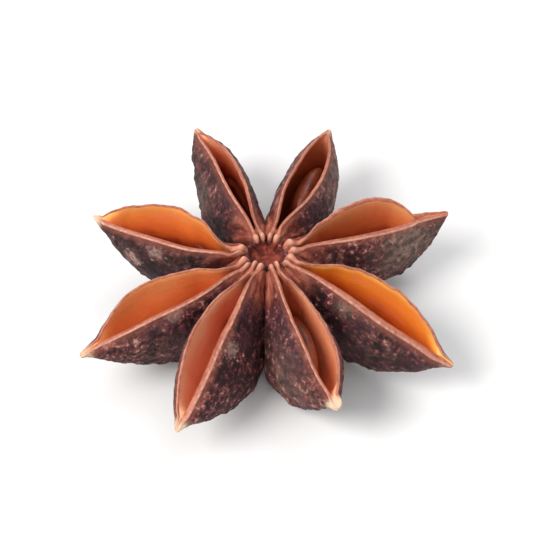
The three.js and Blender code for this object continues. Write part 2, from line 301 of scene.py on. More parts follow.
def carpelTree():
    s = carpelSettings
    tree, given = newTree("carpel", labelled(carpelRows()[0]))
    length, depth, beak, gapeAt = given["Length"], given["Depth"], given["Beak"], given["Gape At"]
    tip, seed, hubAt = given["Tip"], given["Seed"], given["Hub"]
    halfSteps = s["flankSteps"] + s["lipSteps"] + s["liningSteps"]

    # a closed tube to start from: its length becomes the carpel's, its round the section's
    tube = addNode(tree, "GeometryNodeMeshCylinder",
                   {"Vertices": 2 * halfSteps, "Side Segments": s["stations"]},
                   fill_type="TRIANGLE_FAN")
    tubeX, tubeY, tubeZ = pointPlace(tree)
    isCap = (tubeX * tubeX + tubeY * tubeY).math("LESS_THAN", 0.5)
    t = (tubeZ * 0.5 + 0.5).atLeast(0.0).atMost(1.0)
    column = (tubeY.math("ARCTAN2", tubeX) / (2 * math.pi) * (2 * halfSteps)).math("ROUND")
    column = column.math("FLOORED_MODULO", 2 * halfSteps)
    start = hubAt * s["root"] / length
    u = 1 - (1 - t) ** s["crowding"] * (1 - start)  # 0 at the axis, 1 at the tip

    onLeft = column.math("LESS_THAN", halfSteps + 0.5)
    side = onLeft * 2 - 1
    step = onLeft.pick(column, 2 * halfSteps - column)
    lipStart, lipEnd = s["flankSteps"], s["flankSteps"] + s["lipSteps"]
    isFlank = step.math("LESS_THAN", lipStart + 0.5)
    isLining = step.above(lipEnd - 0.5)
    down01 = 1 - step / lipStart
    arc = ((step - lipStart) / s["lipSteps"]).atLeast(0.0).atMost(1.0)
    in01 = ((step - lipEnd) / s["liningSteps"]).atLeast(0.0)

    # the tip closes as a blunt round end
    closeFrom = 1 - tip * s["tipReach"] / length
    past = ((u - closeFrom) / (1 - closeFrom)).atLeast(0.0).atMost(1.0)
    close = (1 - past * past * s["tipClose"]).math("SQRT")
    hub = hubAt / length

    def fromHub(key):  # 0 at the centre, 1 farther out
        low, high = s[key]
        return u.ease(hub * low, hub * high)

    def wave(kind, layer=0.0):
        pace, start, scale, detail = s["waves"][kind]
        spot = combine(tree, u * length * pace, seed + start, layer)
        return grain(tree, spot, scale, detail) - 0.5

    nearHub = 1 - fromHub("nearHub")
    nearRim = 1 - fromHub("nearRim")
    lipWave = wave("lip", side * s["lipsApart"])
    keelWave = wave("keel")
    sway = wave("sway")
    nicks = wave("nicks", side)
    beads = beadSettings
    ownSpot = combine(tree, seed * beads["carpelStep"], side * beads["sideStep"],
                      beads["layer"])
    ownSize = grain(tree, ownSpot, beads["scale"], 0.0)

    # the mouth
    end = 1 - beak
    rise = gapeAt * given["Edge"] / (end - gapeAt)

    def mouth(x):
        return x ** rise * (end - x).atLeast(0.0) ** given["Edge"]

    widest = onLeft.pick(given["Left"], given["Right"])
    opened = u.ease(hub, given["Opens"])
    gape = (widest * mouth(u) / mouth(gapeAt) * (1 + lipWave * s["lipWave"])
            + nicks * s["nickDepth"]) * opened
    gape = gape.atLeast(fromHub("slitFrom") * s["slit"] * (1 - u.ease(end - s["slitFade"], end)))

    # the hull
    fromRoot = (u / s["fullDepthAt"]).atMost(1.0) * (1 - s["rootDepth"]) + s["rootDepth"]
    taper = (1 - u ** given["Fullness"] * s["taperAway"]).atLeast(0.0) ** s["taperPower"]
    keel = depth * fromRoot * taper + keelWave * s["keelWave"] * u.ease(*s["keelWaveFrom"]) * taper
    keel = keel.atLeast(tip * s["tipDepth"]) * close
    fuller = 1 + s["rootFuller"] - u.ease(*s["fullerTo"]) * s["rootFuller"]
    narrowing = 1 - u ** s["swellFall"] * s["taperAway"]
    swell = given["Width"] * fuller * u ** s["swellRise"] * narrowing / s["swellPeak"]
    swell = swell.atLeast(tip * s["tipWidth"]) * close

    # the split edges
    lips = lipSettings
    room = onLeft.pick(given["Room Left"], given["Room Right"])
    ridgeHalf = room * hubAt * (lips["ridge"] + ownSize * lips["ridgeSpread"])
    ownLip = onLeft.pick(given["Lip Left"], given["Lip Right"])
    ownLip = (ownLip - lips["usual"]) * u.ease(*lips["ownFrom"]) + lips["usual"]
    ownLip = ownLip + nearHub * lips["atHub"]
    ownLip = ownLip * (1 - u.ease(end - lips["thinFrom"], 1.0) * lips["thinning"])
    lipHalf = nearRim.pick(ridgeHalf, ownLip) * close
    outerLip = (gape + lipHalf * 2 + lips["apart"]).atLeast(tip) * close
    innerLip = (outerLip - lipHalf * 2).atLeast(close * lips["leastOpening"])
    half = (outerLip - innerLip) * 0.5
    crest = (outerLip + innerLip) * 0.5
    brow = half.atMost(lips["brow"] + nearRim * lips["ridgeBrow"])
    slope = (half - lips["usual"]).atLeast(0.0) * (1 - nearRim) * lips["slope"]

    # the hollow
    hollowEnd = 1 - beak * s["hollowInBeak"]
    hollow = u.ease(*s["hollowFrom"]) * (1 - u.ease(hollowEnd - s["hollowFade"], hollowEnd))
    bulgeIn = (swell - s["wall"]).atLeast(s["leastHollow"]) * hollow
    rim = brow + slope
    depthIn = (keel - s["keelWall"] - rim).atLeast(0.0) * hollow ** s["hollowPower"]
    depthIn = rim * s["underRim"] + s["leastHollow"] + depthIn

    def bezier(v, p0, p1, p2, p3):
        w = 1 - v
        return p0 * w * w * w + p1 * v * w * w * 3 + p2 * v * v * w * 3 + p3 * v * v * v

    def section(v, edge, bulge, top, bottom, shape, shoulder):  # from the edge to the keel
        across = bezier(v, edge, edge * shape["hold"] + bulge * shape["upper"],
                        bulge * shape["lower"], 0.0)
        down = bezier(v, top, top + (bottom - top) * shoulder,
                      top + (bottom - top) * shape["belly"], bottom)
        return across, down

    shoulder = s["flank"]["shoulder"] - nearHub * s["shoulderAtHub"]
    flankAcross, flankDown = section(down01, outerLip, swell, brow, keel, s["flank"], shoulder)
    liningAcross, liningDown = section(in01, innerLip, bulgeIn, rim, depthIn, s["lining"],
                                       s["lining"]["shoulder"])
    arcAcross = crest + half * (arc * math.pi).math("COSINE")
    arcDown = brow - brow * (arc * math.pi).math("SINE") + slope * arc
    across = isFlank.pick(flankAcross, isLining.pick(liningAcross, arcAcross))
    down = isFlank.pick(flankDown, isLining.pick(liningDown, arcDown))
    across = across * side
    across = isCap.pick(0.0, across)
    down = isCap.pick(keel * s["capMiddle"], down)

    # the keel swings to one side, and neighbours press flat against each other
    swing = given["Lean"] * (u / s["swingFullAt"]).atMost(1.0)
    across = (across + swing * (down.atLeast(0.0) / depth) ** s["swingPower"]
              + sway * s["sway"] * u.ease(*s["swayFrom"]))
    across = (across + given["Bend"] * thirdPeak * u * (1 - u) * (1 - u)
              + given["Bow"] * halfWayPeak * u * (1 - u))
    along = u * length
    inset = isFlank.pick(0.0, arc * s["lipInset"])
    roomLeft, roomRight = ((along * given[label] + s["overlap"] - inset).atLeast(s["leastRoom"])
                           for label in ("Room Left", "Room Right"))
    across = across.math("SMOOTH_MIN", roomLeft, s["meeting"])
    across = -((-across).math("SMOOTH_MIN", roomRight, s["meeting"]))
    spare = (roomLeft - across).atMost(roomRight + across)
    pressed = 1 - spare.ease(*s["pressedTo"])

    # the bumps round the centre
    crown = (arc * math.pi).math("SINE").atLeast(0.0)
    nose = along + crown * beads["forward"] - beads["back"] + (ownSize - 0.5) * beads["spread"]
    low, high = beads["nose"]
    noseDip = (1 - nose.ease(hubAt * low, hubAt * high)) * beads["noseDrop"]

    def bump(place):
        return (1 - ((along - place) / beads["reach"]).math("ABSOLUTE")).ease(0.0, 1.0) * crown

    bead = (bump(hubAt) * (beads["height"] + ownSize * beads["heightSpread"])
            - bump(hubAt + beads["saddleAt"]) * beads["saddle"])
    lift = given["Arch"] * halfWayPeak * u * (1 - u) - given["Drop"] * u * u - noseDip + bead
    lift = (lift + lipWave * s["lipWave"] * u.ease(*s["lipWaveFrom"])
            + nicks * s["nickRise"] * u.ease(*s["nickFrom"]))
    z = (lift + rimHeight - down).math("SMOOTH_MAX", s["floorGap"], s["floorSoft"])
    turn = given["Azimuth"].math("RADIANS")
    cosine, sine = turn.math("COSINE"), turn.math("SINE")
    x = along * cosine - across * sine
    y = along * sine + across * cosine

    # what the later steps and the material need to know, kept before the points move
    geometry = tube.outputs["Mesh"]
    known = {
        "along": u, "lining": isFlank.pick(0.0, arc), "sink": down / s["sinkUnit"],
        "lip": 1 - (down / s["lipBand"]).atMost(1.0), "across": across, "tone": given["Tone"],
        "tipPale": u.ease(*s["paleFrom"]) * given["Tip Pale"], "hollow": hollow, "seed": seed,
        # gloom and dusk carry the painted shade of the hollows to the material
        "gloom": down / given["Gloom"] * (1 + s["rootGloom"]
                                          - u.ease(*s["rootGloomTo"]) * s["rootGloom"]),
        "pressed": pressed, "shade": given["Shade"], "dusk": given["Dusk"],
        "bead": bead.atLeast(0.0) * beads["mask"]}
    for label, value in known.items():
        geometry = store(tree, geometry, label, value)
    geometry = moveTo(tree, geometry, combine(tree, x, y, z))

    # wrinkles of the dried rind, drawn out along the carpel
    relief = reliefSettings
    normal = addNode(tree, "GeometryNodeInputNormal", {}).outputs[0]
    free = 1 - recall(tree, "pressed")
    skin = 1 - recall(tree, "lining")
    far = recall(tree, "along")
    sink = recall(tree, "sink")
    drawn = combine(tree, far * length * relief["along"], recall(tree, "across") * relief["across"],
                    sink * relief["down"] + recall(tree, "seed") * relief["seed"])
    broad, creases, pebbles, ripple = (grain(tree, drawn, *relief[label]) for label in
                                       ("broad", "creases", "pebbles", "ripple"))
    creases = 1 - ((creases - 0.5) * relief["creaseWidth"]).math("ABSOLUTE").atMost(1.0)
    onFlank = skin * sink.ease(*relief["flankFrom"]) * (1 - far.ease(*relief["tipFrom"])) * free
    lower = sink.ease(*relief["lowerFrom"])
    height = ((broad - 0.5) * relief["undulation"] * 2
              - creases * relief["wrinkle"] * (1 + lower * relief["lowerWrinkle"])
              + (pebbles - 0.5) * relief["fine"] * 2) * onFlank
    mx, my, mz = pointPlace(tree)
    spoke = (mx * mx + my * my).math("SQRT").atLeast(relief["leastSpoke"])
    rayPlace = combine(tree, mx / spoke * relief["rayCount"], my / spoke * relief["rayCount"],
                       spoke * relief["rayStretch"])
    rays = grain(tree, rayPlace, *relief["rays"]) - 0.5
    rays = rays * (1 - spoke.ease(*relief["rayTo"])) * mz.ease(*relief["rayAbove"])
    rays = rays * skin.ease(*relief["rayOut"])
    rays = rays * (relief["pressedRays"] + free * (1 - relief["pressedRays"]))
    ripple = ((ripple - 0.5) * relief["rippleHeight"] * 2 * (1 - skin).ease(*relief["rippleIn"])
              * sink.ease(*relief["rippleFrom"]))
    height = height + rays * relief["rayHeight"] * 2 + ripple * recall(tree, "hollow")
    scaled = addNode(tree, "ShaderNodeVectorMath", {0: normal, "Scale": height},
                     operation="SCALE")
    geometry = store(tree, geometry, "crease", creases * onFlank)
    geometry = moveTo(tree, geometry, offset=scaled.outputs[0])
    px, py, pz = pointPlace(tree)
    geometry = moveTo(tree, geometry, combine(tree, px, py, pz.atLeast(0.0)))
    addNode(tree, "NodeGroupOutput", {0: geometry})
    return tree


def podTree(skinMaterial):
    tree, given = newTree("pod", {"Sharp Angle": 55.0}, [("Column", "NodeSocketObject")])
    carpel = carpelTree()
    union = addNode(tree, "GeometryNodeMeshBoolean", {}, operation="UNION", solver="MANIFOLD")
    column = addNode(tree, "GeometryNodeObjectInfo", {"Object": given["Column"]})
    tree.links.new(column.outputs["Geometry"], union.inputs["Mesh 2"])
    for row in carpelRows():
        one = addNode(tree, "GeometryNodeGroup", labelled(row), node_tree=carpel)
        tree.links.new(one.outputs[0], union.inputs["Mesh 2"])
    plain = addNode(tree, "GeometryNodeTriangulate", {"Mesh": union.outputs["Mesh"]})
    finishPiece(tree, plain.outputs["Mesh"], skinMaterial, given["Sharp Angle"])
    return tree


def addObject(name, data):
    thing = bpy.data.objects.new(name, data)
    bpy.context.scene.collection.objects.link(thing)
    return thing


def bake(name, tree, values):  # the tree's result as a plain mesh object
    holder = addObject(name + "Source", bpy.data.meshes.new(name + "Source"))
    modifier = holder.modifiers.new(tree.name, "NODES")
    modifier.node_group = tree
    sockets = {item.name: item.identifier for item in tree.interface.items_tree
               if item.item_type == "SOCKET" and item.in_out == "INPUT"}
    for label, value in values.items():
        modifier[sockets[label]] = value
    evaluated = holder.evaluated_get(bpy.context.evaluated_depsgraph_get())
    mesh = bpy.data.meshes.new_from_object(evaluated)
    holder.modifiers.clear()
    bpy.data.objects.remove(holder)
    return addObject(name, mesh)


# The column: dimple above, broken stalk below
columnSettings = {
    "profile": [  # distance from the axis and height over the rim, mm
        (0.35, -8.95), (0.8, -9.1), (1.08, -8.95), (1.12, -8.6), (1.2, -8.3), (1.6, -8.0),
        (2.3, -7.75), (2.8, -7.3), (2.85, -6.0), (2.8, -3.0), (2.7, -1.4), (2.4, -0.8),
        (2.1, -0.55), (1.85, -0.5), (1.65, -0.62), (1.45, -0.82), (1.2, -1.02), (0.95, -1.12),
        (0.7, -1.12), (0.5, -1.05), (0.3, -1.0), (0.15, -0.98)],
    "top": -0.98, "bottom": -8.8, "sectors": 64,
    # front to back against side to side, at the dimple
    "oval": 0.76, "ovalFrom": -4.0, "ovalOver": 3.0,
    "stalkTop": -7.9, "endTop": -8.7,
    "fibres": [(9, 0.0, 0.07), (23, 1.0, 0.05)],  # count, turn and depth
    "splinters": (0.22, 3.0, 4.0),  # height, layer and scale in the noise
    "dimpleFrom": -1.2, "dimpleTo": 2.0,  # height, and distance from the axis
    "folds": (16, 0.7, 0.09), "foldFrom": 0.5,
    "lumps": (0.22, 7.0, 1.6),
}


def columnMesh():
    s = columnSettings
    mesh = bpy.data.meshes.new("column")
    shape = bmesh.new()

    def lump(radius, angle, kind):
        height, layer, scale = s[kind]
        spot = Vector((radius * math.cos(angle), radius * math.sin(angle), layer))
        return height * noise.noise(spot * scale)

    def point(radius, height, k):
        angle = 2 * math.pi * k / s["sectors"]
        upper = min(max((height - s["ovalFrom"]) / s["ovalOver"], 0), 1)
        squeeze = 1 + (s["oval"] - 1) * upper
        if height < s["stalkTop"]:  # fibres of the stalk, and its ragged end
            radius *= 1 + sum(deep * math.sin(count * angle + turn)
                              for count, turn, deep in s["fibres"])
            if height < s["endTop"]:
                height += lump(radius, angle, "splinters")
        if height > s["dimpleFrom"] and radius < s["dimpleTo"]:  # folds into the dimple
            count, turn, deep = s["folds"]
            fade = min(1, max(0, radius - s["foldFrom"]))
            height += deep * math.sin(count * angle + turn) * fade
            height += lump(radius, angle, "lumps")
        return (radius * math.cos(angle), squeeze * radius * math.sin(angle), rimHeight + height)

    rings = [[shape.verts.new(point(r, h, k)) for k in range(s["sectors"])]
             for r, h in s["profile"]]
    for lower, upper in zip(rings, rings[1:]):
        for k in range(s["sectors"]):
            n = (k + 1) % s["sectors"]
            shape.faces.new((lower[k], lower[n], upper[n], upper[k]))
    low = shape.verts.new((0, 0, rimHeight + s["bottom"]))
    high = shape.verts.new((0, 0, rimHeight + s["top"]))
    for k in range(s["sectors"]):
        n = (k + 1) % s["sectors"]
        shape.faces.new((rings[0][n], rings[0][k], low))
        shape.faces.new((rings[-1][k], rings[-1][n], high))
    shape.to_mesh(mesh)
    shape.free()
    return mesh


seedSettings = {  # mm and degrees
    "usual": {"length": 7.4, "height": 4.7, "thickness": 2.5, "taper": 0.16},
    "rows": {
        "seed_back": {"azimuth": 70.0, "out": 9.6, "left": -0.6, "up": 5.5, "pitch": 4.0,
                      "roll": -2.0, "seed": 1.0},
        "seed_front": {"azimuth": -66.5, "out": 8.6, "left": -0.6, "up": 5.4, "pitch": 0.0,
                       "roll": -18.0, "seed": 6.0},
    },
    "segments": 72, "rings": 64,
    "ridge": 0.05, "ridgePower": 6,  # keel along the seed's edge
    # parts of length and height
    "notchAt": (-0.47, 0.12), "notchReach": (0.1, 0.14), "notch": 0.04,
    "dents": 0.12, "dentsUp": 0.05, "dentPace": (3, 2, 2), "dentGrain": (1.2, 1.0),
    "slim": 0.98, "scarAt": -0.49, "scarReach": 0.06, "rimFrom": (0.8, 1.0),
}


def seedTree(coat):
    s = seedSettings
    first = {**s["usual"], **s["rows"]["seed_back"]}
    tree, given = newTree("seed", {**labelled(first), "Sharp Angle": 80.0})
    ball = addNode(tree, "GeometryNodeMeshUVSphere",
                   {"Segments": s["segments"], "Rings": s["rings"], "Radius": 0.5})
    x, y, z = pointPlace(tree)
    along, up, flat = z, x, -y  # the poles lie at the ends of the seed

    def near(place, middle, reach):  # 1 at the middle, 0 from reach on
        return (1 - ((place - middle) / reach).math("ABSOLUTE")).atLeast(0.0)

    slim = 1 - given["Taper"] * along * 2
    ridge = 1 + (up.math("ABSOLUTE") * 2) ** s["ridgePower"] * s["ridge"]
    notch = (near(along, s["notchAt"][0], s["notchReach"][0])
             * near(up, s["notchAt"][1], s["notchReach"][1]))
    pace = s["dentPace"]
    dentSpot = combine(tree, along * pace[0] + given["Seed"], up * pace[1], flat * pace[2])
    dents = grain(tree, dentSpot, *s["dentGrain"]) - 0.5
    px = along * given["Length"] * (1 - notch * s["notch"])
    py = flat * given["Thickness"] * slim * (1 + dents * s["dents"]) * s["slim"]
    pz = up * given["Height"] * slim * ridge * (1 - dents * s["dentsUp"])
    geometry = store(tree, ball.outputs["Mesh"], "hilum", near(along, s["scarAt"], s["scarReach"]))
    geometry = store(tree, geometry, "rimmed", (up.math("ABSOLUTE") * 2).ease(*s["rimFrom"]))
    geometry = moveTo(tree, geometry, combine(tree, px, py, pz))

    def turned(geometry, axis, angle):
        turn = [0.0, 0.0, 0.0]
        turn[axis] = angle.math("RADIANS")
        inputs = {"Geometry": geometry, "Rotation": combine(tree, *turn)}
        return addNode(tree, "GeometryNodeTransform", inputs).outputs[0]

    geometry = turned(geometry, 1, given["Pitch"])
    geometry = turned(geometry, 0, given["Roll"])
    spot = combine(tree, given["Out"], given["Left"], given["Up"])
    geometry = turned(moveTo(tree, geometry, offset=spot), 2, given["Azimuth"])
    finishPiece(tree, geometry, coat, given["Sharp Angle"])
    return tree


def startMaterial(name):
    material = bpy.data.materials.new(name)
    material.use_nodes = True
    tree = material.node_tree
    return material, tree, tree.nodes["Principled BSDF"]


def attribute(tree, label):
    node = addNode(tree, "ShaderNodeAttribute", {}, attribute_name=label)
    return Field(tree, node.outputs["Fac"])


def objectMillimetres(tree):
    texture = addNode(tree, "ShaderNodeTexCoord", {})
    inputs = {0: texture.outputs["Object"], "Scale": 1 / mm}
    return addNode(tree, "ShaderNodeVectorMath", inputs, operation="SCALE").outputs[0]


def blend(tree, amount, one, other):  # one at 0, other at 1
    inputs = {0: amount, 6: one, 7: other}
    return addNode(tree, "ShaderNodeMix", inputs, data_type="RGBA").outputs[2]


def layered(tree, base, *layers):  # each colour lies over the ones before, by its amount
    for amount, colour in layers:
        base = blend(tree, amount, base, colour)
    return base


def ramp(tree, amount, stops):
    node = addNode(tree, "ShaderNodeValToRGB", {0: amount})
    items = node.color_ramp.elements
    while len(items) < len(stops):
        items.new(0.5)
    for item, (place, colour) in zip(items, stops):
        item.position = place
        item.color = colour
    return node.outputs["Color"]


def addBump(tree, shader, height, strength, distance):
    bump = addNode(tree, "ShaderNodeBump",
                   {"Strength": strength, "Distance": distance, "Height": height})
    tree.links.new(bump.outputs[0], shader.inputs["Normal"])


def srgb(red, green, blue):  # from 0 to 255
    def straight(value):
        value /= 255
        return value / 12.92 if value <= 0.04045 else ((value + 0.055) / 1.055) ** 2.4
    return (straight(red), straight(green), straight(blue), 1.0)


mottleSettings = {  # noises as detail, roughness and distortion
    "patches": (3.0, 0.55, 0.6),
    "specks": (3.0, 0.62),
    "fine": (3.0, 0.6, 0.2),
    "cellScale": 3.2,
    "fineHeight": 0.6,
    "cellHeight": 0.5,
}


def mottleGroup():  # patches, specks and fine relief of dry plant skin
    s = mottleSettings
    tree = bpy.data.node_groups.new("mottle", "ShaderNodeTree")
    face = tree.interface
    face.new_socket("Vector", in_out="INPUT", socket_type="NodeSocketVector")
    for label in ("Patch Scale", "Speck Scale", "Grain Scale"):
        face.new_socket(label, in_out="INPUT", socket_type="NodeSocketFloat")
    for label in ("Patches", "Specks", "Relief"):
        face.new_socket(label, in_out="OUTPUT", socket_type="NodeSocketFloat")
    source = tree.nodes.new("NodeGroupInput").outputs
    patches, specks, fine = (
        grain(tree, source["Vector"], source[label], *s[kind]) for label, kind in
        (("Patch Scale", "patches"), ("Speck Scale", "specks"), ("Grain Scale", "fine")))
    cells = addNode(tree, "ShaderNodeTexVoronoi",
                    {"Vector": source["Vector"], "Scale": s["cellScale"]},
                    feature="SMOOTH_F1")
    relief = fine * s["fineHeight"] + Field(tree, cells.outputs["Distance"]) * s["cellHeight"]
    addNode(tree, "NodeGroupOutput", {"Patches": patches, "Specks": specks, "Relief": relief})
    return tree


def useGroup(tree, group, vector, looks):
    node = addNode(tree, "ShaderNodeGroup", {
        "Vector": vector, "Patch Scale": looks["patchScale"],
        "Speck Scale": looks["speckScale"], "Grain Scale": looks["grainScale"]},
        node_tree=group)
    return [Field(tree, node.outputs[label]) for label in ("Patches", "Specks", "Relief")]


rindSettings = {
    "colours": {
        "skinDark": srgb(35, 11, 14), "skin": srgb(87, 39, 42), "skinLight": srgb(131, 72, 69),
        "skinFleck": srgb(202, 152, 140), "nearHub": srgb(138, 62, 44), "grooveShade": srgb(72, 22, 14),
        "ridge": srgb(190, 112, 88), "lip": srgb(216, 168, 148), "rust": srgb(132, 70, 54),
        "hubLip": srgb(214, 138, 110), "bead": srgb(240, 176, 150), "band": srgb(196, 120, 98),
        # the lining's colours run from its lit edge down to painted shade deep in the hollow
        "bandDark": srgb(158, 82, 60), "liningTop": srgb(250, 180, 90),
        "liningUpper": srgb(244, 146, 50), "liningMiddle": srgb(226, 108, 34),
        "liningShadeAndDarkFibres": srgb(146, 52, 20), "liningDeepestShade": srgb(84, 29, 13),
        "liningRed": srgb(246, 146, 114), "liningEdgeLight": srgb(255, 196, 154),
        "dimple": srgb(146, 64, 50), "dimpleDark": srgb(74, 22, 16), "earth": srgb(112, 94, 76),
        "plum": srgb(84, 48, 58), "scuff": srgb(186, 150, 138), "weathered": srgb(140, 118, 104),
        "weatheredDark": srgb(88, 66, 58), "scar": srgb(168, 112, 78),
        "scarDark": srgb(104, 58, 40), "tip": srgb(226, 196, 166),
    },
    "noises": {  # scale, detail, roughness and distortion
        "streaks": (1.5, 3.0, 0.6), "fibres": (1.2, 3.0, 0.6), "rays": (1.3, 2.0, 0.6),
        "blots": (1.5, 2.0, 0.6, 0.2), "earth": (0.16, 2.0, 0.6), "plum": (0.2, 1.0, 0.5, 0.4),
    },
    "paces": {  # along, across and down the carpel
        "streaks": (8.0, 0.8, 10), "fibres": (2.2, 1.1, 13),
    },
    "scales": {  # where each colour stands
        "skin": [(0.22, "skinDark"), (0.46, "skin"), (0.63, "skinLight"), (0.84, "skinFleck")],
        "hub": [(0.34, "grooveShade"), (0.5, "nearHub"), (0.66, "ridge")],
        "dimple": [(0.4, "dimpleDark"), (0.54, "dimple")],
        # painted shade: the lining darkens to near black deep in the hollow
        "lining": [(0.03, "liningTop"), (0.16, "liningUpper"), (0.55, "liningMiddle"),
                   (0.86, "liningShadeAndDarkFibres"), (1.0, "liningDeepestShade")],
    },
    "zones": {  # where each look starts and where it is full
        # mm from the axis
        "hub": (3.2, 6.5), "hubMiddle": (1.7, 2.3), "hubLining": (3.2, 5.4), "band": (3.0, 6.0),
        "lipColour": (2.6, 6.5), "ridges": (2.7, 4.6), "dimple": (1.45, 1.85),
        "dimpleShade": (1.1, 1.7), "scar": (0.75, 1.15),
        # mm over the floor
        "hubHeight": (6.0, 8.6), "dimpleFloor": (7.5, 8.0), "dimpleTop": (9.2, 9.6),
        "scarTop": (0.7, 1.1),
        # across the split edge, from outside to inside
        "lining": (0.78, 0.97), "bandOuter": (0.03, 0.15), "bandInner": (0.76, 0.94),
        "paleOver": (0.25, 0.5), "ridgeOuter": (0.12, 0.42), "ridgeInner": (0.58, 0.88),
        # towards the split edge
        "rust": (0.5, 0.88), "pale": (0.87, 0.96),
        # down into the painted shade of the hollow, and the painted light along its edge
        "redOver": (0.5, 0.9), "edgeLightOver": (0.04, 0.5),
        # on the noises
        "earth": (0.42, 0.6), "earthBlots": (0.35, 0.6), "plum": (0.5, 0.62), "grey": (0.35, 0.65),
        "paleFibres": (0.5, 0.7), "darkFibres": (0.22, 0.55), "bandTint": (0.4, 0.6),
        "lipBlots": (0.42, 0.62), "tipPatches": (0.3, 0.6), "scarSpecks": (0.4, 0.6),
    },
    "mix": {  # how much of each look
        "tintSpecks": 1.5, "tintPatches": 0.7, "tintBlots": 1.3, "tintStreaks": 0.4,
        "creaseShade": 0.08, "earth": 0.24, "plum": 0.3, "hub": 0.9, "spreadSpecks": 0.6,
        "flaked": 0.6, "flakedRelief": 1.5, "rust": 0.3, "rustPatches": 0.6,
        "depthPatches": 0.3, "depthFibres": 0.5, "red": 0.85, "edge": 0.9, "hubLining": 0.9,
        "paleFibres": 0.35, "darkFibres": 0.3, "bandFibres": 0.5, "bandSpots": 0.25, "band": 0.92,
        "pale": 0.75, "paleSpecks": 2.2, "paleBlots": 1.2, "paleRays": 1.2, "mostPale": 0.95,
        "lipBlots": 0.5, "bead": 0.1, "beadSpecks": 0.9, "beadBlots": 0.7, "tip": 0.4,
        "tipSpecks": 2, "dimpleSpecks": 0.3, "dimplePatches": 0.4, "dimpleBlots": 0.3,
        "dimpleRimShade": 0.1,
    },
    "surface": {
        "patchScale": 0.32, "speckScale": 2.5, "grainScale": 5.5, "rayCount": 7, "rayStretch": 0.4,
        "leastRadius": 0.3, "skinRough": 0.7, "skinRoughSpread": 0.3, "skinShine": 0.3,
        "liningRough": 0.4, "liningRoughSpread": 0.2, "liningShine": 0.45, "bump": 0.8,
        "bumpHeight": 0.0002, "streakHeight": 0.25, "liningGrain": 0.12,
        "dimpleBackForRimHighlight": 0.2, "dimpleOval": 1.7, "dimpleRagged": 0.5,
    },
}


scuffSettings = {  # place and reach in mm
    "rubbed": [  # pale spots
        {"spot": (-12.3, 2.0, 5.7), "reach": 1.1, "strength": 1.0},
        {"spot": (-10.2, 1.1, 7.7), "reach": 1.0, "strength": 0.9},
        {"spot": (-8.3, -6.3, 8.8), "reach": 1.0, "strength": 0.7},
        {"spot": (-3.1, -9.8, 8.2), "reach": 0.9, "strength": 0.8},
    ],
    "weathered": [  # greyer zones
        {"spot": (7.1, -5.7, 9.0), "reach": 1.6, "strength": 0.7},
        {"spot": (13.0, 2.8, 6.8), "reach": 4.4, "strength": 0.9},
        {"spot": (6.4, 10.5, 7.0), "reach": 3.5, "strength": 0.5},
        {"spot": (2.4, -10.5, 5.0), "reach": 3.4, "strength": 0.5},
        {"spot": (-7.5, 9.0, 6.0), "reach": 3.0, "strength": 0.4},
    ],
    "ragged": 2.4,
    "edge": (0.1, 1.1),  # parts of the reach
}


def worn(tree, place, spread, kind):  # how far each place of the rind is worn
    total = None
    low, high = scuffSettings["edge"]
    for row in scuffSettings[kind]:
        node = addNode(tree, "ShaderNodeVectorMath", {0: place, 1: row["spot"]},
                       operation="DISTANCE")
        ragged = (spread - 0.5) * (row["reach"] + 1) * scuffSettings["ragged"]
        away = Field(tree, node.outputs["Value"]) + ragged
        mask = (1 - away.ease(row["reach"] * low, row["reach"] * high)) * row["strength"]
        total = mask if total is None else total.atLeast(mask)
    return total


